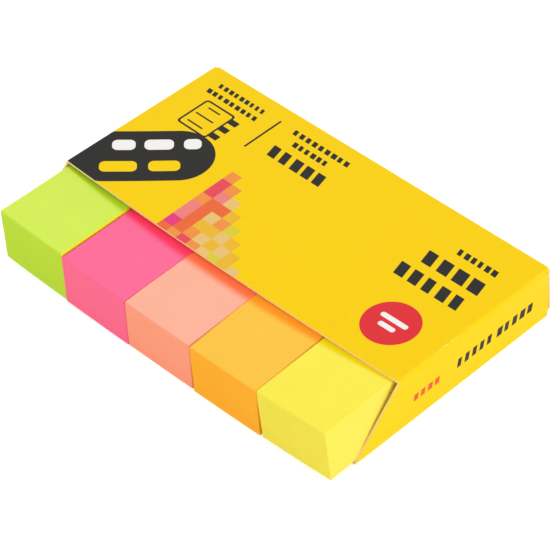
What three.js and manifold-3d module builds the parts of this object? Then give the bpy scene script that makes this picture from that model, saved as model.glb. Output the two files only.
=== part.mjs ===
// A pocket dispenser of sticky index tabs: five pads of paper tabs lie side by side in a folded card sleeve.
// The sleeve is open at the front, where the pads stick out past a short top panel and a longer bottom panel,
// and its side walls are cut at a slant between the two. At the back a closure panel hangs from the top panel
// and is glued over two dust flaps.
// Millimetres, +X along the row of pads, +Y towards the closed back, +Z up, resting on z = 0.
// The origin is under the middle of the whole object.

import * as THREE from "three";
import { mergeVertices } from "three/addons/utils/BufferGeometryUtils.js";
import Module from "manifold-3d";

const wasm = await Module();
wasm.setup();

// One tab, the pad that a stack of them makes, and the gap between two pads
const tabWidth = 15;
const tabLength = 50;
const sheetThickness = 0.096;
const sheetsPerPad = 100;
const padGap = 0.1;

// The pads from left to right, and how far each has slid forward from the back of the sleeve
const pads = [
  { name: "pad_lime", colour: 0xd3ee5c, pulledOut: 0 },
  { name: "pad_pink", colour: 0xff6f9c, pulledOut: 0.25 },
  { name: "pad_peach", colour: 0xffb396, pulledOut: 0.2 },
  { name: "pad_orange", colour: 0xffc043, pulledOut: 0.35 },
  { name: "pad_yellow", colour: 0xfdec4f, pulledOut: 0.25 },
];

// The card, and how sharply it is folded
const cardThickness = 0.4;
const foldRadius = 0.2;
const foldSegments = 6;

// Room that the sleeve leaves round the pads
const sidePlay = 0.05;
const headPlay = 0.2;
const rearPlay = 0.1;

// How far the foremost pad stands out in front of the top panel and of the bottom panel
const showAtTop = 15.7;
const showAtBottom = 5.5;

// The seam on the left, where the bottom panel turns up inside the wall
const glueFlapHeight = 7;
const glueFlapSetback = 2.2;
const glueFlapTaper = 3;

// The flaps that close the back: two dust flaps from the walls, and the closure panel over them
const dustFlapLength = 20;
const dustFlapTaper = 2;
const dustFlapRelief = 0.5;
const closureInset = 0.3;
const closureChamfer = 1.2;
const closureRelief = 0.3;

// How deep a glued face is pressed into its neighbour, how far a cutting block reaches past the card,
// and how close two corners of a mesh lie to count as one
const glueBite = 0.02;
const cutMargin = 5;
const weldDistance = 1e-5;

const halfCard = cardThickness / 2;
const outerRadius = foldRadius + cardThickness;

// The pads lie clear of the inside of the folds
const sideClearance = foldRadius + sidePlay;
const padHeight = sheetThickness * sheetsPerPad;
const rowWidth = pads.length * tabWidth + (pads.length - 1) * padGap;
const furthestOut = Math.max(...pads.map((pad) => pad.pulledOut));

// The left wall is two cards thick where the glue flap backs it, and so is the back
const sleeveWidth = rowWidth + 2 * sideClearance + 3 * cardThickness;
const sleeveHeight = padHeight + headPlay + 2 * cardThickness;
const depth = tabLength + furthestOut + rearPlay + 2 * cardThickness;

const left = -sleeveWidth / 2;
const right = sleeveWidth / 2;
const front = -depth / 2;
const back = depth / 2;
const topFront = front + showAtTop;
const bottomFront = front + showAtBottom;
const closureFront = back - cardThickness;
const wallBack = closureFront - outerRadius;

// Turns a closed three.js geometry into a solid that can be joined and cut
function solid(geometry) {
  const bare = geometry.clone();
  bare.deleteAttribute("normal");
  bare.deleteAttribute("uv");
  const merged = mergeVertices(bare, weldDistance);
  return new wasm.Manifold(
    new wasm.Mesh({
      numProp: 3,
      vertProperties: new Float32Array(merged.attributes.position.array),
      triVerts: new Uint32Array(merged.index.array),
    }),
  );
}

// Gives a solid's vertices and triangles back as a three.js geometry
function geometryOf(body) {
  const mesh = body.getMesh();
  const geometry = new THREE.BufferGeometry();
  geometry.setAttribute("position", new THREE.BufferAttribute(mesh.vertProperties, mesh.numProp));
  geometry.setIndex(new THREE.BufferAttribute(mesh.triVerts, 1));
  geometry.computeVertexNormals();
  return geometry;
}

function outline(points) {
  return new THREE.Shape(points.map(([x, y]) => new THREE.Vector2(x, y)));
}

// The outline of a strip of card seen from its end. corners is its middle line with sharp corners,
// and the strip turns clockwise by a right angle at each corner between the first and the last.
function foldedStrip(corners) {
  const middle = corners.map(([x, y]) => new THREE.Vector2(x, y));
  const ways = middle.slice(1).map((point, i) => point.clone().sub(middle[i]).normalize());
  const bend = foldRadius + halfCard;

  // One face of the strip, the outer one or the inner one
  const face = (sideways) => {
    const points = [];
    const offset = (point, way) => [point.x - way.y * sideways, point.y + way.x * sideways];
    points.push(offset(middle[0], ways[0]));
    for (let fold = 1; fold < ways.length; fold++) {
      const centre = middle[fold].clone().addScaledVector(ways[fold - 1], -bend).addScaledVector(ways[fold], bend);
      const start = Math.atan2(ways[fold - 1].x, -ways[fold - 1].y);
      for (let step = 0; step <= foldSegments; step++) {
        const angle = start - (Math.PI / 2) * (step / foldSegments);
        const radius = bend + sideways;
        points.push([centre.x + radius * Math.cos(angle), centre.y + radius * Math.sin(angle)]);
      }
    }
    points.push(offset(middle.at(-1), ways.at(-1)));
    return points;
  };

  return outline([...face(halfCard), ...face(-halfCard).toReversed()]);
}

function extruded(shape, length) {
  return new THREE.ExtrudeGeometry(shape, { depth: length, bevelEnabled: false });
}

// A section drawn in X and Z, run along Y
function alongY(shape, from, to) {
  return solid(extruded(shape, to - from).rotateX(Math.PI / 2).translate(0, to, 0));
}

// A section drawn in Y and Z, run along X
function alongX(shape, from, to) {
  const turned = new THREE.Matrix4().makeBasis(
    new THREE.Vector3(0, 1, 0),
    new THREE.Vector3(0, 0, 1),
    new THREE.Vector3(1, 0, 0),
  );
  return solid(extruded(shape, to - from).applyMatrix4(turned).translate(from, 0, 0));
}

// A section drawn in X and Y, run up Z
function alongZ(shape, from, to) {
  return solid(extruded(shape, to - from).translate(0, 0, from));
}

// What the die cuts away at the mouth: the top panel is short, the bottom panel is long, the walls slant
function mouthCut() {
  const shape = outline([
    [front - cutMargin, -cutMargin],
    [bottomFront, -cutMargin],
    [bottomFront, outerRadius],
    [topFront, sleeveHeight - outerRadius],
    [topFront, sleeveHeight + cutMargin],
    [front - cutMargin, sleeveHeight + cutMargin],
  ]);
  return alongX(shape, left - cutMargin, right + cutMargin);
}

// The walls end where the dust flaps fold in, the top panel where the closure panel folds down,
// and the bottom panel just short of the closure panel
function backCut() {
  const shape = outline([
    [closureFront - closureRelief, -cutMargin],
    [closureFront - closureRelief, cardThickness],
    [wallBack, cardThickness],
    [wallBack, sleeveHeight - cardThickness],
    [back - outerRadius, sleeveHeight - cardThickness],
    [back - outerRadius, sleeveHeight + cutMargin],
    [back + cutMargin, sleeveHeight + cutMargin],
    [back + cutMargin, -cutMargin],
  ]);
  return alongX(shape, left - cutMargin, right + cutMargin);
}

// Four walls as one folded strip: left wall, top panel, right wall and bottom panel
function sleeveWalls() {
  const section = foldedStrip([
    [left + halfCard, 0],
    [left + halfCard, sleeveHeight - halfCard],
    [right - halfCard, sleeveHeight - halfCard],
    [right - halfCard, halfCard],
    [left + cardThickness + outerRadius, halfCard],
  ]);
  return alongY(section, front, back).subtract(mouthCut()).subtract(backCut());
}

// The bottom panel turns up inside the left wall and is glued to it. Its ends are cut back.
function glueFlap() {
  const flapLine = left + cardThickness + halfCard - glueBite;
  const section = foldedStrip([
    [flapLine + 2 * outerRadius, halfCard],
    [flapLine, halfCard],
    [flapLine, glueFlapHeight],
  ]);
  const slant = (topFront - bottomFront) / (sleeveHeight - 2 * outerRadius);
  const shape = outline([
    [bottomFront, 0],
    [closureFront - closureRelief, 0],
    [closureFront - closureRelief, cardThickness],
    [wallBack, outerRadius],
    [wallBack - glueFlapTaper, glueFlapHeight],
    [bottomFront + glueFlapSetback + slant * glueFlapHeight, glueFlapHeight],
    [bottomFront + glueFlapSetback, outerRadius],
    [bottomFront, cardThickness],
  ]);
  return alongY(section, front, back).intersect(alongX(shape, left, right));
}

// A flap that folds in from the right wall across the back, inside the closure panel
function dustFlap() {
  const tip = right - dustFlapLength;
  const low = cardThickness + dustFlapRelief;
  const high = sleeveHeight - cardThickness - dustFlapRelief;
  const flapLine = closureFront - halfCard + glueBite;
  const section = foldedStrip([
    [tip, flapLine],
    [right - halfCard, flapLine],
    [right - halfCard, wallBack - cardThickness],
  ]);
  const shape = outline([
    [tip, low + dustFlapTaper],
    [tip + dustFlapTaper, low],
    [right, low],
    [right, high],
    [tip + dustFlapTaper, high],
    [tip, high - dustFlapTaper],
  ]);
  return alongZ(section, 0, sleeveHeight).intersect(alongY(shape, front, back));
}

// The panel that folds down from the top panel and covers the back
function closurePanel() {
  const section = foldedStrip([
    [back - 2 * outerRadius, sleeveHeight - halfCard],
    [back - halfCard, sleeveHeight - halfCard],
    [back - halfCard, 0],
  ]);
  const low = left + closureInset;
  const high = right - closureInset;
  const shape = outline([
    [low + closureChamfer, 0],
    [high - closureChamfer, 0],
    [high, closureChamfer],
    [high, sleeveHeight - outerRadius],
    [high - outerRadius, sleeveHeight],
    [low + outerRadius, sleeveHeight],
    [low, sleeveHeight - outerRadius],
    [low, closureChamfer],
  ]);
  return alongX(section, left, right).intersect(alongY(shape, front, back));
}

function cardSleeve() {
  const flap = dustFlap();
  const body = sleeveWalls().add(glueFlap()).add(flap).add(flap.mirror([1, 0, 0])).add(closurePanel());
  const card = new THREE.MeshStandardMaterial({ color: 0xfad000, roughness: 0.45, metalness: 0 });
  const mesh = new THREE.Mesh(geometryOf(body), card);
  mesh.name = "card_sleeve";
  return mesh;
}

// One pad of tabs, lying on the bottom panel in its place in the row
function tabPad(pad, place) {
  const paper = new THREE.MeshStandardMaterial({ color: pad.colour, roughness: 0.85, metalness: 0 });
  const mesh = new THREE.Mesh(new THREE.BoxGeometry(tabWidth, tabLength, padHeight), paper);
  mesh.name = pad.name;
  mesh.position.set(
    left + 2 * cardThickness + sideClearance + tabWidth / 2 + place * (tabWidth + padGap),
    front + furthestOut - pad.pulledOut + tabLength / 2,
    cardThickness + padHeight / 2,
  );
  return mesh;
}

const dispenser = new THREE.Group();
dispenser.add(cardSleeve());
pads.forEach((pad, place) => dispenser.add(tabPad(pad, place)));

export default dispenser;
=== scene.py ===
"""The looks of a pack of sticky index tabs: five pads of paper tabs in a printed card sleeve.

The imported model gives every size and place. Metres, +X along the row of pads, +Y towards the closed
back, +Z up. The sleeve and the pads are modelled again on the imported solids, with the slight bow of the
real pack in them.
"""

import math
import random

import bmesh
import bpy
from mathutils import Matrix, Vector

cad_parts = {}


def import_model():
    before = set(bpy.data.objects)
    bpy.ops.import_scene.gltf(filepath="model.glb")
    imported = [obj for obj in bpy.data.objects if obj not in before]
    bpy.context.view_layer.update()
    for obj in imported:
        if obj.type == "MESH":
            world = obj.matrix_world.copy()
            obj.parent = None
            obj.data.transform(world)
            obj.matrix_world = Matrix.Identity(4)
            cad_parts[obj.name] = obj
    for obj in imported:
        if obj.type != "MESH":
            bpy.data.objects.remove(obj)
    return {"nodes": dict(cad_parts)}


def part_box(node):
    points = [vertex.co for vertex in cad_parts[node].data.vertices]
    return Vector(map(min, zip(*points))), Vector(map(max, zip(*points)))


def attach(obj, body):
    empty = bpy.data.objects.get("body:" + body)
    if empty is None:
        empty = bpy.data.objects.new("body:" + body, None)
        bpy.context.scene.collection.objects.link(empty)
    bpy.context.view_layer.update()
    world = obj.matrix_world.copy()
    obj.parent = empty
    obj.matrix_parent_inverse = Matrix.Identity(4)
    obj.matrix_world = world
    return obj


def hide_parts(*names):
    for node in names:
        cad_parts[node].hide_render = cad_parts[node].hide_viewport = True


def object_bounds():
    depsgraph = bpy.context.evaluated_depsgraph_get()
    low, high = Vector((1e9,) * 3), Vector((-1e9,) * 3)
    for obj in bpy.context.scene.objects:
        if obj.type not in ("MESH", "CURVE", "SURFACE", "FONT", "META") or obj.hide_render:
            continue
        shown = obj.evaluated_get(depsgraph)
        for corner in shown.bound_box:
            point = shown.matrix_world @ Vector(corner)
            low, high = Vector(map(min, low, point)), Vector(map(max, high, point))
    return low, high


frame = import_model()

CAD_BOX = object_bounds()
MM = 0.001

# Sizes that the pack was made with
CARD = 0.4 * MM
FOLD_RADIUS = 0.2 * MM
OUTER_RADIUS = FOLD_RADIUS + CARD
SHOW_AT_TOP = 15.7 * MM
SHEETS_PER_PAD = 100

SLEEVE_LOW, SLEEVE_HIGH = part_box("card_sleeve")
LEFT, RIGHT = SLEEVE_LOW.x, SLEEVE_HIGH.x
HEIGHT = SLEEVE_HIGH.z
BACK = SLEEVE_HIGH.y
FRONT = CAD_BOX[0].y
TOP_FRONT = FRONT + SHOW_AT_TOP
BOTTOM_FRONT = SLEEVE_LOW.y
WALL_BACK = BACK - CARD - OUTER_RADIUS

# How far the two front corners of the pack curl up from the table
LIFT_LEFT = 1.02 * MM
LIFT_RIGHT = 0.88 * MM

# How the card has given way at its open front: how high the top panel's edge stands over its packed
# place at the left, in the middle and at the right, how far that edge bows forward, and how far the
# walls lean in at their tops
EDGE_RISE = (0.75 * MM, 0.19 * MM, -0.05 * MM)
EDGE_FORWARD = 0.18 * MM
WALL_LEAN = (0.18 * MM, 0.14 * MM)

# The share of the way from the back to the top panel's edge at which the card's shift stops growing
SHIFT_REACH = 1.2

# How far the bottom panel sags at its front right corner, and how far the ends of the closure panel
# stand off at its lower edge, from which share of its half width on. The panel lies within this depth.
CORNER_SAG = 0.25 * MM
CLOSURE_FLARE = 0.3 * MM
FLARE_FROM = 0.6
CLOSURE_DEPTH = 1.02 * CARD

# Colours as they look, in 0 to 255
INK_YELLOW = (252, 211, 0)
INK_YELLOW_DULL = (250, 208, 0)
INK_DARK = (44, 43, 42)
INK_RED = (226, 50, 58)
INK_ORANGE = (235, 90, 50)
INK_WHITE = (246, 243, 240)
INK_CRACKED = (255, 236, 150)
CUT_CARD = (240, 212, 142)
CUT_CARD_PALE = (252, 226, 164)
BARE_CARD = (250, 230, 170)
BARE_CARD_DULL = (240, 214, 148)
PATCH_INKS = [
    (232, 62, 130), (234, 78, 92), (240, 132, 128), (238, 108, 60), (243, 150, 70),
    (234, 196, 120), (238, 186, 50), (222, 206, 60), (190, 204, 62), (184, 170, 62),
]
WHITE_LIGHT = (1.0, 1.0, 1.0, 1.0)
TABLE_COLOUR = (0.9, 0.9, 0.9, 1.0)

# The printed sheet is drawn flat, in millimetres: across is x on the top panel and runs on round the
# folds, along is y and runs on down the back. The sheet's own map holds both, in decimetres.
NET_SCALE = 100.0
FOLD_ARC = 0.5 * math.pi * OUTER_RADIUS
EDGE_SOFTNESS = 0.06

# Bars turned by 45 degrees on the flat drawing: right, up, width, height and rounding
DARK_BAND = (-21.5, 21.2, 25.0, 12.6, 6.3)
WHITE_BARS = [
    (-24.6, 24.0, 4.0, 2.6, 1.0),
    (-18.6, 24.0, 5.0, 2.6, 1.0),
    (-12.9, 24.0, 3.0, 2.6, 1.0),
]
YELLOW_BARS = [
    (-25.4, 18.6, 6.4, 2.6, 1.0),
    (-17.6, 18.6, 5.4, 2.6, 1.0),
]

# Rows of blocks on the top panel: across, along, width, height, number of blocks and gap
TOP_ROWS = [
    (27.2, 9.3, 14.2, 3.0, 5, 0.6),
    (27.9, 14.1, 12.4, 3.0, 4, 0.6),
    (29.2, 18.4, 8.4, 1.4, 6, 0.35),
    (-9.2, 15.8, 12.4, 2.7, 5, 0.6),
    (-9.6, 19.4, 8.0, 1.2, 6, 0.35),
    (-9.2, 21.7, 13.0, 1.2, 9, 0.35),
    (-28.6, 19.6, 12.0, 1.1, 9, 0.35),
    (-28.4, 21.8, 11.0, 1.1, 9, 0.35),
]

# Rows of blocks on the right wall: height over the table, and the rest as above
WALL_ROWS = [
    (5.1, 7.4, 8.2, 1.7, 5, 0.5),
    (5.1, 16.9, 8.6, 1.7, 5, 0.5),
]
ORANGE_WALL_ROW = (4.8, -3.8, 6.0, 1.3, 4, 0.4)

# How far the blocks lean, and the share of their pitch by which they may be narrower
BLOCK_SLANT = 0.25
BLOCK_VARIES = 0.22

# Other shapes on the top panel: across and along first, then their sizes
UPRIGHT_LINE = (-19.3, 17.8, 0.4, 8.8)
PAGE_PLACE = (-29.2, 14.0)
RED_DISC = (28.4, -1.0, 5.0)
DISC_BARS = [
    (28.4, -0.2, 5.6, 1.0, 0.45),
    (28.4, -2.0, 3.4, 1.0, 0.45),
]

# Where the ink has cracked along the right fold, in millimetres: the line, how far from it the cracks
# are full and gone, and for each worn stretch its middle, where it is full and gone, and its strength
CRACK_LINE = (RIGHT - 0.4 * OUTER_RADIUS) / MM
CRACK_REACH = (0.05, 0.22)
WORN_STRETCHES = [
    (-3.0, 2.0, 11.0, 1.0),
    (22.5, 0.5, 2.0, 0.6),
]

# The part of a noise's range that most of it lies in
NOISE_SPAN = (0.3, 0.7)

# How noises are drawn out along the axes: cracks, fibres in a cut edge, and the lines of a pad's sheets
CRACK_STRETCH = (1.0, 0.5, 1.0)
CUT_STRETCH = (1.0, 1.0, 3.0)
SHEET_STRETCH = (60.0, 60.0, 9000.0)

# The painted shade of the top panel's edge on the pads' top colour: how far in front of the edge it is full
# and gone at the sides of the pack, and what its middle adds to each
SHADE_FULL = (0.05 * MM, 0.95 * MM)
SHADE_GONE = (0.3 * MM, 2.7 * MM)

# The painted shade of the wall's slanted edge on the cut sides: where it begins and is full, counted
# backwards
WALL_SHADE = (-0.45 * MM, 0.1 * MM)

# From which share of its normal a face counts as turned to a side, and from which share as wholly
TURNING = (0.5, 0.8)

# How much lighter or darker the paper's fibres and clouds make it, and the lines of sheets its cut
# sides, and how much higher those lines stand than the fibres
PAPER_TONE = (-0.012, 0.012)
STREAK_TONE = (-0.035, 0.02)
STREAK_RELIEF = 2.0

# The camera that the photograph was taken with, from a fit to the pack's corners
CAMERA_PLACE = Vector((266.54, -241.03, 344.25)) * MM
CAMERA_AZIMUTH = math.radians(47.73)
CAMERA_ELEVATION = math.radians(43.61)
CAMERA_ROLL = math.radians(-4.10)
FOCAL_PIXELS = 3004.7
FRAME_PIXELS = 555
SENSOR_WIDTH = 36.0
CLIP_START = 0.01

SKY_STRENGTH = 0.83
TABLE_GLOW = 0.5
TABLE_REACH = 3.0

# The sockets of a Mix node that carry colours
MIX_A, MIX_B, MIX_RESULT = 6, 7, 2


def linear(colour):
    """A colour as it looks, as the linear values that a shader takes."""
    parts = [value / 255 for value in colour]
    return tuple(v / 12.92 if v <= 0.04045 else ((v + 0.055) / 1.055) ** 2.4 for v in parts) + (1.0,)


def placed(name, data):
    """A new object in the scene."""
    made = bpy.data.objects.new(name, data)
    bpy.context.scene.collection.objects.link(made)
    return made


def share_across(x):
    """Where x lies between the sleeve's middle, 0, and its sides, -1 and 1."""
    return (x - 0.5 * (LEFT + RIGHT)) / (0.5 * (RIGHT - LEFT))


def lift(x, y):
    """How far the bowed pack stands off the table at a place in its plan."""
    across = share_across(x)
    along = min(max((BACK - y) / (BACK - FRONT), 0.0), 1.0)
    return (LIFT_LEFT if across < 0 else LIFT_RIGHT) * across * across * along


def card_shift(x, y, z):
    """How the card has moved by the time it is photographed, apart from the bow of the whole pack."""
    across = share_across(x)
    front = min(max((BACK - y) / (BACK - TOP_FRONT), 0.0), SHIFT_REACH)
    up = z / HEIGHT
    left, middle, right = EDGE_RISE
    rise = middle + 0.5 * (right - left) * across + (0.5 * (right + left) - middle) * across * across
    lean = WALL_LEAN[0] if across < 0 else -WALL_LEAN[1]
    on_closure = y > BACK - CLOSURE_DEPTH
    flare = max(abs(across) - FLARE_FROM, 0.0) / (1.0 - FLARE_FROM) if on_closure else 0.0
    return Vector((
        lean * abs(across) * up * front,
        CLOSURE_FLARE * flare * (1.0 - up) - EDGE_FORWARD * (1.0 - across * across) * up * front,
        rise * up * front - CORNER_SAG * max(across, 0.0) ** 2 * (1.0 - up) * front,
    ))


class Shader:
    """A material whose node tree is built by short calls. Each value is a socket or a number."""

    def __init__(self, name):
        self.material = bpy.data.materials.new(name)
        self.material.use_nodes = True
        self.tree = self.material.node_tree
        self.surface = self.tree.nodes["Principled BSDF"]

    def node(self, kind, **settings):
        made = self.tree.nodes.new(kind)
        for key, value in settings.items():
            setattr(made, key, value)
        return made

    def put(self, socket, value):
        if isinstance(value, bpy.types.NodeSocket):
            self.tree.links.new(value, socket)
        else:
            socket.default_value = value

    def set(self, name, value):
        self.put(self.surface.inputs[name], value)

    def math(self, operation, a, b=0.0, clamp=False):
        made = self.node("ShaderNodeMath", operation=operation, use_clamp=clamp)
        self.put(made.inputs[0], a)
        self.put(made.inputs[1], b)
        return made.outputs[0]

    def add(self, a, b):
        return self.math("ADD", a, b)

    def sub(self, a, b):
        return self.math("SUBTRACT", a, b)

    def mul(self, a, b):
        return self.math("MULTIPLY", a, b)

    def both(self, a, b):
        return self.math("MINIMUM", a, b)

    def either(self, a, b):
        return self.math("MAXIMUM", a, b)

    def any_of(self, shapes):
        """The greatest of several values."""
        whole = shapes[0]
        for shape in shapes[1:]:
            whole = self.either(whole, shape)
        return whole

    def ramp(self, value, low, high, to_low=0.0, to_high=1.0, smooth=False):
        """value, stretched from low..high to to_low..to_high and held there."""
        made = self.node("ShaderNodeMapRange", clamp=True)
        if smooth:
            made.interpolation_type = "SMOOTHSTEP"
        for socket, v in zip(made.inputs, (value, low, high, to_low, to_high)):
            self.put(socket, v)
        return made.outputs[0]

    def fade(self, value, full, gone, strength=1.0, smooth=False):
        """strength where value is at most full, and 0 from gone on."""
        return self.ramp(value, full, gone, strength, 0.0, smooth)

    def mix(self, share, a, b):
        """Colour a, with a share of colour b laid over it."""
        made = self.node("ShaderNodeMix", data_type="RGBA")
        self.put(made.inputs["Factor"], share)
        self.put(made.inputs[MIX_A], a)
        self.put(made.inputs[MIX_B], b)
        return made.outputs[MIX_RESULT]

    def noise(self, vector, scale, detail=2.0, roughness=0.5):
        made = self.node("ShaderNodeTexNoise")
        self.put(made.inputs["Vector"], vector)
        self.put(made.inputs["Scale"], scale)
        self.put(made.inputs["Detail"], detail)
        self.put(made.inputs["Roughness"], roughness)
        return made.outputs["Fac"]

    def white_noise(self, dimensions, **inputs):
        made = self.node("ShaderNodeTexWhiteNoise", noise_dimensions=dimensions)
        for name, value in inputs.items():
            self.put(made.inputs[name], value)
        return made.outputs["Value"]

    def stretched(self, vector, scale):
        """vector, with each axis scaled on its own."""
        made = self.node("ShaderNodeMapping")
        self.put(made.inputs["Vector"], vector)
        made.inputs["Scale"].default_value = scale
        return made.outputs[0]

    def place(self):
        return self.node("ShaderNodeTexCoord").outputs["Object"]

    def split(self, vector):
        made = self.node("ShaderNodeSeparateXYZ")
        self.put(made.inputs[0], vector)
        return made.outputs[0], made.outputs[1], made.outputs[2]

    def bump(self, height, distance, strength):
        made = self.node("ShaderNodeBump")
        self.put(made.inputs["Height"], height)
        made.inputs["Distance"].default_value = distance
        made.inputs["Strength"].default_value = strength
        self.put(self.surface.inputs["Normal"], made.outputs[0])


class Print(Shader):
    """A shader with the flat drawing's places, and simple shapes on them."""

    def __init__(self, name):
        super().__init__(name)
        net = self.node("ShaderNodeUVMap", uv_map="net").outputs[0]
        across, along, _ = self.split(net)
        self.across = self.mul(across, NET_SCALE)
        self.along = self.mul(along, NET_SCALE)

    def inside(self, distance):
        """1 where the distance to an outline is negative, with an edge as sharp as print."""
        return self.math("SUBTRACT", 0.5, self.math("DIVIDE", distance, EDGE_SOFTNESS), clamp=True)

    def off(self, value, centre):
        return self.math("ABSOLUTE", self.sub(value, centre))

    def length(self, a, b):
        return self.math("SQRT", self.add(self.mul(a, a), self.mul(b, b)))

    def bar(self, across, along, width, height, rounding=0.0):
        """A bar round its centre, with rounded corners where rounding isn't 0."""
        side = self.sub(self.off(self.across, across), width / 2 - rounding)
        end = self.sub(self.off(self.along, along), height / 2 - rounding)
        if not rounding:
            return self.inside(self.either(side, end))
        return self.inside(self.rounded(side, end, rounding))

    def rounded(self, side, end, rounding):
        """The distance to a bar with rounded corners, from the distances to the bar's sides and ends once
        those are drawn in by the rounding."""
        corner = self.length(self.either(side, 0.0), self.either(end, 0.0))
        inner = self.both(self.either(side, end), 0.0)
        return self.sub(self.add(corner, inner), rounding)

    def slanted_bar(self, right, up, width, height, rounding):
        """A bar with rounded corners, turned by 45 degrees. right and up are counted that way too."""
        turned = math.sqrt(0.5)
        here_right = self.mul(self.add(self.across, self.along), turned)
        here_up = self.mul(self.sub(self.along, self.across), turned)
        side = self.sub(self.off(here_right, right), width / 2 - rounding)
        end = self.sub(self.off(here_up, up), height / 2 - rounding)
        return self.inside(self.rounded(side, end, rounding))

    def disc(self, across, along, radius):
        reach = self.length(self.sub(self.across, across), self.sub(self.along, along))
        return self.inside(self.sub(reach, radius))

    def blocks(self, across, along, width, height, count, gap, turned=False):
        """A row of slanted blocks that stands in for a word. It has no letters."""
        run, rise = (self.along, self.across) if turned else (self.across, self.along)
        middle_run, middle_rise = (along, across) if turned else (across, along)
        leaning = self.add(run, self.mul(self.sub(rise, middle_rise), BLOCK_SLANT))
        pitch = (width + gap) / count
        start = middle_run - width / 2
        steps = self.math("DIVIDE", self.sub(leaning, start), pitch)
        cell = self.math("FLOOR", steps)
        seed = self.white_noise("1D", W=self.add(cell, start + middle_rise))
        narrow = self.mul(seed, BLOCK_VARIES * pitch)
        within = self.mul(self.sub(steps, cell), pitch)
        solid = self.sub(pitch - gap, narrow)
        block = self.either(self.mul(within, -1.0), self.sub(within, solid))
        ends = self.sub(self.off(leaning, middle_run), width / 2)
        band = self.sub(self.off(rise, middle_rise), height / 2)
        return self.inside(self.any_of([block, ends, band]))

    def wall_blocks(self, z, along, width, height, count, gap):
        """A row of blocks on the right wall, z millimetres over the table."""
        across = (RIGHT - OUTER_RADIUS + FOLD_ARC + (HEIGHT - OUTER_RADIUS - z * MM)) / MM
        return self.blocks(across, along, width, height, count, gap, turned=True)


def patchwork(ink):
    """A staircase of small squares that run from red at the left to green at the right, each with a little
    of its own. Returns its colour and where it lies."""
    size = 2.3
    steps = 8
    hidden_share = 0.3
    drift, drift_along, own = 0.6, 0.35, 0.42
    corner_across = -16.2
    corner_along = (TOP_FRONT - EDGE_FORWARD) / MM - hidden_share * size
    cell_across = ink.math("FLOOR", ink.math("DIVIDE", ink.sub(ink.across, corner_across), size))
    cell_along = ink.math("FLOOR", ink.math("DIVIDE", ink.sub(ink.along, corner_along), size))
    cell = ink.node("ShaderNodeCombineXYZ")
    ink.put(cell.inputs[0], cell_across)
    ink.put(cell.inputs[1], cell_along)
    seed = ink.white_noise("2D", Vector=cell.outputs[0])

    colours = ink.node("ShaderNodeValToRGB")
    ramp = colours.color_ramp
    ramp.interpolation = "CONSTANT"
    given = len(ramp.elements)
    for number, shade in enumerate(PATCH_INKS):
        position = number / len(PATCH_INKS)
        stop = ramp.elements[number] if number < given else ramp.elements.new(position)
        stop.position = position
        stop.color = linear(shade)
    place = ink.mul(ink.add(cell_across, ink.mul(cell_along, drift_along)), drift / steps)
    ink.put(colours.inputs[0], ink.add(place, ink.mul(seed, own)))

    # Cells are counted in whole numbers, so each limit lies halfway between two
    stair = ink.math("LESS_THAN", ink.add(cell_across, cell_along), steps - 0.5)
    right_of = ink.math("GREATER_THAN", cell_across, -0.5)
    return colours.outputs[0], ink.mul(stair, right_of)


def tabbed_page(ink, across, along):
    """A small line drawing of a page with three tabs on its edge."""
    row_pitch, line_left, tab_right = 2.3, 0.4, 4.3
    outer = ink.bar(across, along, width=7.0, height=7.6, rounding=0.7)
    inner = ink.bar(across, along, width=6.2, height=6.8, rounding=0.4)
    drawn = ink.sub(outer, inner)
    for row, length in zip((-1, 0, 1), (3.6, 4.2, 2.8)):
        here = along + row_pitch * row
        line = ink.bar(across - line_left, here, width=length, height=0.35)
        tab = ink.bar(across + tab_right, here, width=1.9, height=1.3, rounding=0.2)
        drawn = ink.either(drawn, ink.either(line, tab))
    return drawn


def cracked_fold(ink, place):
    """Where the ink has cracked off the right fold."""
    near_fold = ink.fade(ink.off(ink.across, CRACK_LINE), *CRACK_REACH)
    worn = ink.any_of([
        ink.fade(ink.off(ink.along, middle), full, gone, strength)
        for middle, full, gone, strength in WORN_STRETCHES
    ])
    dashes = ink.noise(ink.stretched(place, CRACK_STRETCH), scale=2400.0, detail=2.0)
    specks = ink.ramp(dashes, low=0.56, high=0.68)
    return ink.mul(specks, ink.mul(near_fold, worn))


def printed_card():
    """The varnished yellow outside of the sleeve, with its print and its cracked fold."""
    ink = Print("printed_card")
    place = ink.place()
    mottle = ink.noise(place, scale=900.0, detail=3.0)
    colour = ink.mix(ink.ramp(mottle, *NOISE_SPAN), linear(INK_YELLOW), linear(INK_YELLOW_DULL))

    patch, where = patchwork(ink)
    colour = ink.mix(where, colour, patch)

    dark_print = ink.any_of([
        *(ink.blocks(*row) for row in TOP_ROWS),
        *(ink.wall_blocks(*row) for row in WALL_ROWS),
        ink.bar(*UPRIGHT_LINE),
        tabbed_page(ink, *PAGE_PLACE),
    ])
    layers = [
        (ink.slanted_bar(*DARK_BAND), INK_DARK),
        (ink.any_of([ink.slanted_bar(*bar) for bar in WHITE_BARS]), INK_WHITE),
        (ink.any_of([ink.slanted_bar(*bar) for bar in YELLOW_BARS]), INK_YELLOW),
        (dark_print, INK_DARK),
        (ink.disc(*RED_DISC), INK_RED),
        (ink.any_of([ink.bar(*bar) for bar in DISC_BARS]), INK_WHITE),
        (ink.wall_blocks(*ORANGE_WALL_ROW), INK_ORANGE),
        (cracked_fold(ink, place), INK_CRACKED),
    ]
    for shape, shade in layers:
        colour = ink.mix(shape, colour, linear(shade))

    ink.set("Base Color", colour)
    ink.set("Roughness", ink.ramp(mottle, low=0.2, high=0.8, to_low=0.42, to_high=0.52))
    ink.set("Specular IOR Level", 0.12)
    ink.bump(ink.noise(place, scale=2600.0, detail=3.0), distance=0.01 * MM, strength=0.5)
    return ink.material


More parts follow.
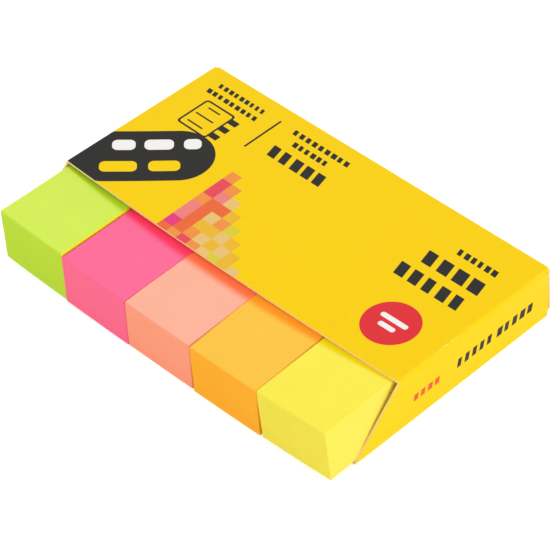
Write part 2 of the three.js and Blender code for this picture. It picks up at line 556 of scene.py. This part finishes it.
def cut_edge():
    """The pale core of the card where the die cut it."""
    core = Shader("cut_card")
    place = core.stretched(core.place(), CUT_STRETCH)
    fibres = core.noise(place, scale=3200.0, detail=4.0, roughness=0.7)
    pale = core.ramp(fibres, low=0.35, high=0.65)
    core.set("Base Color", core.mix(pale, linear(CUT_CARD), linear(CUT_CARD_PALE)))
    core.set("Roughness", 0.9)
    core.bump(fibres, distance=0.03 * MM, strength=0.8)
    return core.material


def bare_card():
    """The unprinted inside of the card."""
    inside = Shader("bare_card")
    fibres = inside.noise(inside.place(), scale=1800.0, detail=5.0, roughness=0.7)
    dull = inside.ramp(fibres, *NOISE_SPAN)
    inside.set("Base Color", inside.mix(dull, linear(BARE_CARD), linear(BARE_CARD_DULL)))
    inside.set("Roughness", 0.92)
    inside.bump(fibres, distance=0.02 * MM, strength=0.6)
    return inside.material


def shaded_paper(paper, place, side, rightward, colours):
    """The colour of a pad, with the card edges' shade painted in, deeper and not greyer, and painted light
    on the cut side that faces right.
    """
    x, y, z = paper.split(place)
    across = paper.math("DIVIDE", x, 0.5 * (RIGHT - LEFT))
    middle = paper.sub(1.0, paper.mul(across, across))
    full = paper.add(SHADE_FULL[0], paper.mul(middle, SHADE_FULL[1]))
    gone = paper.add(SHADE_GONE[0], paper.mul(middle, SHADE_GONE[1]))
    reach = paper.sub(TOP_FRONT - EDGE_FORWARD, y)
    # Painted shade: the top sheet takes a darker colour in front of the card's top edge
    top = paper.mix(paper.fade(reach, full, gone, smooth=True), colours.top, colours.painted_shade)

    slant = (TOP_FRONT - BOTTOM_FRONT) / (HEIGHT - 2 * OUTER_RADIUS)
    wall_edge = paper.add(BOTTOM_FRONT, paper.mul(paper.sub(z, OUTER_RADIUS), slant))
    # Painted shade on the cut sides just behind the wall's slanted front edge
    behind = paper.ramp(paper.sub(y, wall_edge), *WALL_SHADE, smooth=True)
    # Painted light: the cut side that faces right takes a lighter colour of its own
    cut = paper.mix(paper.ramp(rightward, *TURNING), colours.side, colours.painted_light_flank)
    return paper.mix(side, top, paper.mix(behind, cut, colours.painted_wall_shade))


def pad_paper(name, colours):
    """Matt fluorescent paper: plain on the top sheet, fine lines of sheets on the cut sides, with painted
    shade and painted light in its colour.
    """
    paper = Shader(name)
    place = paper.place()
    normal = paper.node("ShaderNodeNewGeometry").outputs["True Normal"]
    rightward, _, up = paper.split(normal)
    side = paper.fade(paper.math("ABSOLUTE", up), *TURNING)

    fibres = paper.noise(place, scale=1400.0, detail=4.0, roughness=0.65)
    clouds = paper.noise(place, scale=120.0, detail=2.0)
    streaks = paper.noise(paper.stretched(place, SHEET_STRETCH), scale=1.0, detail=3.0, roughness=0.7)
    tone = paper.add(
        paper.ramp(fibres, *NOISE_SPAN, *PAPER_TONE),
        paper.mul(side, paper.ramp(streaks, *NOISE_SPAN, *STREAK_TONE)),
    )
    tone = paper.add(tone, paper.ramp(clouds, *NOISE_SPAN, *PAPER_TONE))
    toned = paper.node("ShaderNodeHueSaturation")
    paper.put(toned.inputs["Value"], paper.add(1.0, tone))
    paper.put(toned.inputs["Color"], shaded_paper(paper, place, side, rightward, colours))

    paper.set("Base Color", toned.outputs[0])
    paper.set("Roughness", 0.9)
    paper.set("Specular IOR Level", 0.1)
    relief = paper.add(fibres, paper.mul(side, paper.mul(streaks, STREAK_RELIEF)))
    paper.bump(relief, distance=0.012 * MM, strength=0.6)
    return paper.material


def section_across(x, z):
    """Where a point of the sleeve's outside lies on the flat drawing, going round from the top panel."""
    half_turn = 0.5 * math.pi
    wall = HEIGHT - 2 * OUTER_RADIUS
    wall_depth = 1.5 * CARD
    sign = 1.0 if x >= 0 else -1.0
    edge = (RIGHT if sign > 0 else -LEFT) - OUTER_RADIUS
    reach = abs(x)
    if z >= HEIGHT - OUTER_RADIUS:
        if reach <= edge:
            return x
        angle = math.atan2(reach - edge, z - (HEIGHT - OUTER_RADIUS))
        return sign * (edge + OUTER_RADIUS * angle)
    if z >= OUTER_RADIUS and reach > edge - wall_depth:
        return sign * (edge + OUTER_RADIUS * half_turn + (HEIGHT - OUTER_RADIUS - z))
    if reach > edge:
        angle = math.atan2(OUTER_RADIUS - z, reach - edge)
        return sign * (edge + OUTER_RADIUS * (half_turn + angle) + wall)
    return sign * (edge + OUTER_RADIUS * math.pi + wall + (edge - reach))


def folded_along(y, z):
    """Where a point of the closure panel lies on the flat drawing, going down the back."""
    start = BACK - OUTER_RADIUS
    if z >= HEIGHT - OUTER_RADIUS:
        if y <= start:
            return y
        return start + OUTER_RADIUS * math.atan2(y - start, z - (HEIGHT - OUTER_RADIUS))
    return start + FOLD_ARC + (HEIGHT - OUTER_RADIUS - z)


# How close two corners of a mesh lie to count as one
WELD = 1e-7


def cut_at(mesh, axis, places):
    """Cuts every face of the mesh by planes across one axis."""
    normal = Vector([1.0 if i == axis else 0.0 for i in range(3)])
    for place in places:
        everything = mesh.verts[:] + mesh.edges[:] + mesh.faces[:]
        bmesh.ops.bisect_plane(mesh, geom=everything, dist=WELD, plane_co=normal * place, plane_no=normal)


def spread(low, high, step):
    """Places from low to high, about a step apart."""
    count = max(1, round((high - low) / step))
    return [low + (high - low) * i / count for i in range(count + 1)]


# The sides of the card, by the number of their material
PRINTED, CUT, BARE = 0, 1, 2

# How close a face's middle lies to a plane to count as on it, and how far below the sleeve's outside it
# may lie to be on the outer side of the card
NEAR = 0.02 * MM
SKIN = 0.9 * CARD

# Shares of a face's normal: hardly turned to an axis, partly turned to it, and facing it
HARDLY, PARTLY, FACING = 0.1, 0.3, 0.9


def card_side(face):
    """Which side of the card a face is: printed outside, cut edge or bare inside."""
    centre, normal = face.calc_center_median(), face.normal
    on_back = centre.y > BACK - CARD - NEAR
    on_wall_skin = max(centre.x - RIGHT, LEFT - centre.x) > -SKIN
    outward = normal.x * centre.x
    if normal.y > PARTLY and centre.y > BACK - NEAR:
        return PRINTED
    on_dust_flap = WALL_BACK + NEAR < centre.y < BACK - CARD and 2 * CARD < centre.z < HEIGHT - 2 * CARD
    if on_dust_flap and abs(normal.z) < HARDLY and normal.y > -HARDLY and outward >= 0:
        return PRINTED
    if centre.z > HEIGHT - OUTER_RADIUS - NEAR and normal.z > HARDLY and normal.y > -PARTLY:
        on_skin = centre.z > HEIGHT - SKIN or on_wall_skin or centre.y > BACK - SKIN
        return PRINTED if on_skin else BARE
    if abs(normal.x) > PARTLY and abs(normal.y) < PARTLY and not on_back:
        return PRINTED if on_wall_skin and outward > 0 else BARE
    if normal.z < -PARTLY and centre.z < SKIN and not on_back and LEFT + CARD < centre.x:
        return PRINTED
    if abs(normal.y) > PARTLY or on_back:
        return CUT
    if abs(normal.z) > FACING and CARD < centre.z < HEIGHT - CARD:
        return CUT
    return BARE


def map_net(mesh):
    """Lays the flat drawing on the sleeve, as the mesh's map."""
    net = mesh.loops.layers.uv.new("net")
    for face in mesh.faces:
        on_closure = face.calc_center_median().y > BACK - OUTER_RADIUS
        for loop in face.loops:
            x, y, z = loop.vert.co
            across = x if on_closure else section_across(x, z)
            along = folded_along(y, z) if on_closure else y
            loop[net].uv = (across / MM / NET_SCALE, along / MM / NET_SCALE)


def folded_sleeve():
    """The card sleeve, cut finely enough to bow, with its flat drawing as a map."""
    flat_angle, sharp_angle = math.radians(1.0), math.radians(35.0)
    across_step, along_step = 2.4 * MM, 3.0 * MM
    inset = 1.2 * OUTER_RADIUS
    data = frame["nodes"]["card_sleeve"].data.copy()
    data.materials.clear()
    mesh = bmesh.new()
    mesh.from_mesh(data)
    bmesh.ops.remove_doubles(mesh, verts=mesh.verts, dist=WELD)
    bmesh.ops.dissolve_limit(mesh, angle_limit=flat_angle, verts=mesh.verts, edges=mesh.edges)
    fold_lines = [LEFT + OUTER_RADIUS, RIGHT - OUTER_RADIUS]
    cut_at(mesh, 0, fold_lines + spread(LEFT + inset, RIGHT - inset, across_step))
    cut_at(mesh, 1, spread(BOTTOM_FRONT + MM, BACK - inset, along_step))
    mesh.normal_update()
    sides = {face: card_side(face) for face in mesh.faces}
    map_net(mesh)
    for face in mesh.faces:
        face.smooth = True
        face.material_index = sides[face]
    for edge in mesh.edges:
        faces = edge.link_faces
        if len(faces) == 2:
            turned = faces[0].normal.angle(faces[1].normal, 0.0) > sharp_angle
            edge.smooth = not turned and sides[faces[0]] == sides[faces[1]]
    for vertex in mesh.verts:
        x, y, z = vertex.co
        vertex.co += card_shift(x, y, z) + Vector((0.0, 0.0, lift(x, y)))
    mesh.to_mesh(data)
    mesh.free()
    for material in (printed_card(), cut_edge(), bare_card()):
        data.materials.append(material)
    sleeve = placed("folded_sleeve", data)
    weighted = sleeve.modifiers.new("even_normals", "WEIGHTED_NORMAL")
    weighted.keep_sharp = True
    return sleeve


class Stack:
    """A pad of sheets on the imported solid, modelled ring by ring from the table up."""

    # The rounding of a sheet's corners and the angles of its points, the strip round a sheet's edge, the
    # mesh's step inside that strip, and the least room between two pads
    CORNER = 0.12 * MM
    CORNER_TURNS = (0, 30, 60, 90)
    BORDER = 0.5 * MM
    STEP = 2.5 * MM
    ROOM = 0.03 * MM

    # How far the outermost sheets at both ends of the stack are worn back, and the topmost edge more
    WORN = (0.10 * MM, 0.04 * MM, 0.015 * MM)
    WORN_RIM = 0.03 * MM

    # How far the groove between two sheets lies back, and how the sheets slip: by how much each, and the
    # share of the slip below that it keeps
    GROOVE = 0.012 * MM
    SLIP = 0.006 * MM
    SLIP_KEPT = 0.85

    def __init__(self, node, slump, seed, beside):
        self.low, self.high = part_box(node)
        self.slump = slump
        self.beside = beside
        self.random = random.Random(seed)
        self.across = spread(self.low.x + self.BORDER, self.high.x - self.BORDER, self.STEP)
        self.along = spread(self.low.y + self.BORDER, self.high.y - self.BORDER, self.STEP)
        self.mesh = bmesh.new()

    def shares(self, y, z):
        """How far up a point lies, how far towards the front end, and how near to the card's edge, each
        from 0 to 1."""
        up = (z - self.low.z) / (self.high.z - self.low.z)
        front = (self.high.y - y) / (self.high.y - self.low.y)
        at_mouth = (self.high.y - TOP_FRONT) / (self.high.y - self.low.y)
        return up, front, min(front / at_mouth, (1.0 - front) / (1.0 - at_mouth))

    def moved(self, x, y, z):
        """Where a point lies across the row once the pad has leaned, short of the pad to its left."""
        slump = self.slump
        up, front, near_mouth = self.shares(y, z)
        leaned = (slump.lean * up + slump.spread * (1.0 - up)) * front ** 2
        here = x + leaned + slump.slide * up * near_mouth
        if self.beside is None:
            return here
        return max(here, self.beside.moved(self.beside.high.x, y, z) + self.ROOM)

    def vertex(self, x, y, z):
        """A corner of the mesh, moved as the real pad leans and bows towards its front end."""
        slump = self.slump
        up, front, near_mouth = self.shares(y, z)
        outside = max((BOTTOM_FRONT - y) / (BOTTOM_FRONT - self.low.y), 0.0)
        aside = (x - self.low.x) / (self.high.x - self.low.x) - 0.5
        raised = (slump.rise * up + slump.roll * aside) * front ** 4 - slump.droop * (1.0 - up) * outside
        raised += slump.hump * up * near_mouth
        return self.mesh.verts.new((self.moved(x, y, z), y, z + raised + lift(x, y)))

    def arc(self, x, y, first, inset):
        """The rounded corner of a sheet whose plan is drawn in by inset, from an angle on in degrees."""
        radius = self.CORNER
        x -= math.copysign(radius + inset, x - (self.low.x + self.high.x) / 2)
        y -= math.copysign(radius + inset, y - (self.low.y + self.high.y) / 2)
        turns = [math.radians(first + turn) for turn in self.CORNER_TURNS]
        return [(x + radius * math.cos(turn), y + radius * math.sin(turn)) for turn in turns]

    def row(self, points, z, slip):
        """The corners of the mesh at some points of a sheet that has slipped."""
        return [self.vertex(x + slip.x, y + slip.y, z) for x, y in points]

    def ring(self, z, inset, slip):
        """The outline of a sheet at height z, as four sides and the corner after each, anticlockwise."""
        low, high = self.low, self.high
        near, far = low.y + inset, high.y - inset
        left, right = low.x + inset, high.x - inset
        sides = [
            [(x, near) for x in self.across], [(right, y) for y in self.along],
            [(x, far) for x in reversed(self.across)], [(left, y) for y in reversed(self.along)],
        ]
        corners = [
            self.arc(high.x, low.y, -90, inset), self.arc(high.x, high.y, 0, inset),
            self.arc(low.x, high.y, 90, inset), self.arc(low.x, low.y, 180, inset),
        ]
        pairs = zip(sides, corners)
        return [(self.row(side, z, slip), self.row(corner, z, slip)) for side, corner in pairs]

    def cap(self, ring, z, facing_up):
        """The whole of the top or bottom sheet inside its ring."""
        grid = [[self.vertex(x, y, z) for x in self.across] for y in self.along]
        faces = []
        for row, above in zip(grid, grid[1:]):
            for i in range(len(row) - 1):
                faces.append((row[i], row[i + 1], above[i + 1], above[i]))
        borders = [grid[0], [row[-1] for row in grid], grid[-1][::-1], [row[0] for row in grid][::-1]]
        for number, ((side, corner), border) in enumerate(zip(ring, borders)):
            for i in range(len(side) - 1):
                faces.append((side[i], side[i + 1], border[i + 1], border[i]))
            next_side = ring[(number + 1) % len(ring)][0]
            fan = [side[-1], *corner, next_side[0]]
            for a, b in zip(fan, fan[1:]):
                faces.append((a, b, border[-1]))
        for face in faces:
            self.mesh.faces.new(face if facing_up else face[::-1])

    def build(self):
        """Two rings to a sheet, so that the cut sides show fine layers, with worn first and last sheets."""
        sheet = (self.high.z - self.low.z) / SHEETS_PER_PAD
        slip = Vector((0.0, 0.0))
        rings = []
        for number in range(SHEETS_PER_PAD):
            jump = Vector((self.random.uniform(-1, 1), self.random.uniform(-1, 1)))
            slip = self.SLIP_KEPT * slip + self.SLIP * jump
            from_end = min(number, SHEETS_PER_PAD - 1 - number)
            wear = self.WORN[from_end] if from_end < len(self.WORN) else 0.0
            bottom = self.low.z + number * sheet
            rings.append(self.ring(bottom, wear + self.GROOVE, slip))
            rings.append(self.ring(bottom + 0.5 * sheet, wear, slip))
        rings.append(self.ring(self.high.z, self.WORN[0] + self.WORN_RIM, slip))
        loops = [[v for side, corner in ring for v in side + corner] for ring in rings]
        for below, above in zip(loops, loops[1:]):
            for i in range(len(below)):
                j = (i + 1) % len(below)
                self.mesh.faces.new((below[i], below[j], above[j], above[i]))
        self.cap(rings[0], self.low.z, False)
        self.cap(rings[-1], self.high.z, True)
        return self.mesh


def pad(node, colours, stack):
    """One pad of paper tabs as a piece of the scene."""
    name = node.replace("pad_", "sheets_")
    sharp_angle = math.radians(40.0)
    mesh = stack.build()
    mesh.normal_update()
    for face in mesh.faces:
        face.smooth = True
    for edge in mesh.edges:
        edge.smooth = edge.calc_face_angle(0.0) < sharp_angle
    data = bpy.data.meshes.new(name)
    mesh.to_mesh(data)
    mesh.free()
    data.materials.append(pad_paper(node.replace("pad_", "paper_"), colours))
    return placed(name, data)


class Slump:
    """How a pad has moved, in millimetres. At its front end: lean is to the right at its top and spread at
    its bottom, rise is up at its top, droop is down at its bottom where nothing carries it, and roll is up
    on its right side against its left. Under the card's edge: hump is up and slide to the right at its
    top."""

    def __init__(self, lean=0.0, spread=0.0, rise=0.0, droop=0.0, roll=0.0, hump=0.0, slide=0.0):
        self.lean = lean * MM
        self.spread = spread * MM
        self.rise = rise * MM
        self.droop = droop * MM
        self.roll = roll * MM
        self.hump = hump * MM
        self.slide = slide * MM


class Colours:
    """The colours of a pad as they look: its top sheet; its cut sides, darker and deeper than the top,
    partly the paper's own cut edge and partly painted shade; the painted shade on the top sheet under the
    card's edge; the painted light on the cut side that faces right; and the painted shade on the cut sides
    behind the wall's edge."""

    def __init__(self, top, side, painted_shade, painted_light_flank=None, painted_wall_shade=None):
        self.top = linear(top)
        self.side = linear(side)
        self.painted_shade = linear(painted_shade)
        self.painted_light_flank = linear(painted_light_flank or side)
        self.painted_wall_shade = linear(painted_wall_shade or painted_shade)


# Each cut side colour is a darker, deeper copy of the top: partly the paper's own cut edge, partly painted
# shade
PADS = {
    "pad_lime": (
        Colours(top=(215, 240, 91), side=(191, 224, 61), painted_shade=(170, 203, 28), painted_light_flank=(255, 248, 20)),
        Slump(lean=-0.3, spread=-0.25, rise=0.38, droop=0.55, hump=0.45, slide=-0.05),
    ),
    "pad_pink": (
        Colours(top=(255, 112, 156), side=(255, 111, 146), painted_shade=(255, 58, 96)),
        Slump(lean=-0.1, spread=-0.3, rise=0.1, droop=0.4, hump=0.25, slide=0.05),
    ),
    "pad_peach": (
        Colours(top=(255, 183, 157), side=(255, 160, 126), painted_shade=(255, 112, 66)),
        Slump(lean=-0.2, spread=-0.35, droop=0.37, hump=0.22, slide=-0.36),
    ),
    "pad_orange": (
        Colours(top=(255, 200, 73), side=(255, 178, 46), painted_shade=(255, 152, 32)),
        Slump(lean=-0.14, spread=0.02, droop=0.4, hump=0.15, slide=-0.72),
    ),
    "pad_yellow": (
        Colours(top=(253, 239, 82), side=(244, 228, 77), painted_shade=(244, 212, 8), painted_light_flank=(253, 233, 92),
                painted_wall_shade=(255, 230, 20)),
        Slump(lean=-0.38, spread=0.42, rise=0.12, droop=0.27, roll=0.3, hump=0.08, slide=-0.5),
    ),
}


def camera():
    """The photograph's camera."""
    forward = Vector((
        -math.sin(CAMERA_AZIMUTH) * math.cos(CAMERA_ELEVATION),
        math.cos(CAMERA_AZIMUTH) * math.cos(CAMERA_ELEVATION),
        -math.sin(CAMERA_ELEVATION),
    ))
    level = forward.cross(Vector((0.0, 0.0, 1.0))).normalized()
    above = level.cross(forward)
    right = level * math.cos(CAMERA_ROLL) + above * math.sin(CAMERA_ROLL)
    up = above * math.cos(CAMERA_ROLL) - level * math.sin(CAMERA_ROLL)
    data = bpy.data.cameras.new("camera")
    data.sensor_width = SENSOR_WIDTH
    data.lens = FOCAL_PIXELS / FRAME_PIXELS * SENSOR_WIDTH
    data.clip_start = CLIP_START
    made = placed("camera", data)
    turn = Matrix((right, up, -forward)).transposed().to_4x4()
    made.matrix_world = Matrix.Translation(CAMERA_PLACE) @ turn
    bpy.context.scene.camera = made


def area_lamp(name, direction, distance, size, power):
    """A round lamp that shines on the origin."""
    data = bpy.data.lights.new(name, "AREA")
    data.shape = "DISK"
    data.size = size
    data.energy = power
    lamp = placed(name, data)
    lamp.location = Vector(direction).normalized() * distance
    lamp.rotation_mode = "QUATERNION"
    lamp.rotation_quaternion = (-lamp.location).to_track_quat("-Z", "Y")


def seen_directly(tree):
    """1 for what the camera sees, by way of gloss or glass too, and 0 for light on other things."""
    ray = tree.nodes.new("ShaderNodeLightPath")
    seen = ray.outputs["Is Camera Ray"]
    for kind in ("Is Glossy Ray", "Is Transmission Ray"):
        either = tree.nodes.new("ShaderNodeMath")
        either.operation = "MAXIMUM"
        tree.links.new(seen, either.inputs[0])
        tree.links.new(ray.outputs[kind], either.inputs[1])
        seen = either.outputs[0]
    return seen


def world():
    """An even pale sky that lights the object, and plain white to the camera."""
    sky = bpy.data.worlds.new("sky")
    sky.use_nodes = True
    tree = sky.node_tree
    light = tree.nodes["Background"]
    light.inputs["Color"].default_value = WHITE_LIGHT
    light.inputs["Strength"].default_value = SKY_STRENGTH
    white = tree.nodes.new("ShaderNodeBackground")
    white.inputs["Color"].default_value = WHITE_LIGHT
    mix = tree.nodes.new("ShaderNodeMixShader")
    tree.links.new(seen_directly(tree), mix.inputs[0])
    tree.links.new(light.outputs[0], mix.inputs[1])
    tree.links.new(white.outputs[0], mix.inputs[2])
    tree.links.new(mix.outputs[0], tree.nodes["World Output"].inputs[0])
    bpy.context.scene.world = sky


def floor():
    """A plain white table top, a little self-lit to the camera, so that it is white but keeps the shadow."""
    mesh = bmesh.new()
    bmesh.ops.create_grid(mesh, x_segments=2, y_segments=2, size=TABLE_REACH)
    data = bpy.data.meshes.new("table_top")
    mesh.to_mesh(data)
    mesh.free()
    shade = Shader("table_top")
    shade.set("Base Color", TABLE_COLOUR)
    shade.set("Roughness", 0.9)
    shade.set("Emission Color", WHITE_LIGHT)
    shade.set("Emission Strength", shade.mul(seen_directly(shade.tree), TABLE_GLOW))
    data.materials.append(shade.material)
    top = placed("table_top", data)


camera()
world()
floor()
area_lamp("key", direction=(0.85, 0.35, 0.38), distance=0.9, size=0.45, power=2.25)
area_lamp("fill", direction=(-0.3, -0.85, 0.4), distance=1.2, size=0.9, power=2.4)

sleeve = folded_sleeve()
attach(sleeve, "root")
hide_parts("card_sleeve")

stack = None
for seed, (node, (colours, slump)) in enumerate(PADS.items(), start=1):
    stack = Stack(node, slump, seed, beside=stack)
    made = pad(node, colours, stack)
    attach(made, "root")
    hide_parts(node)

bpy.context.scene.view_settings.view_transform = "Standard"
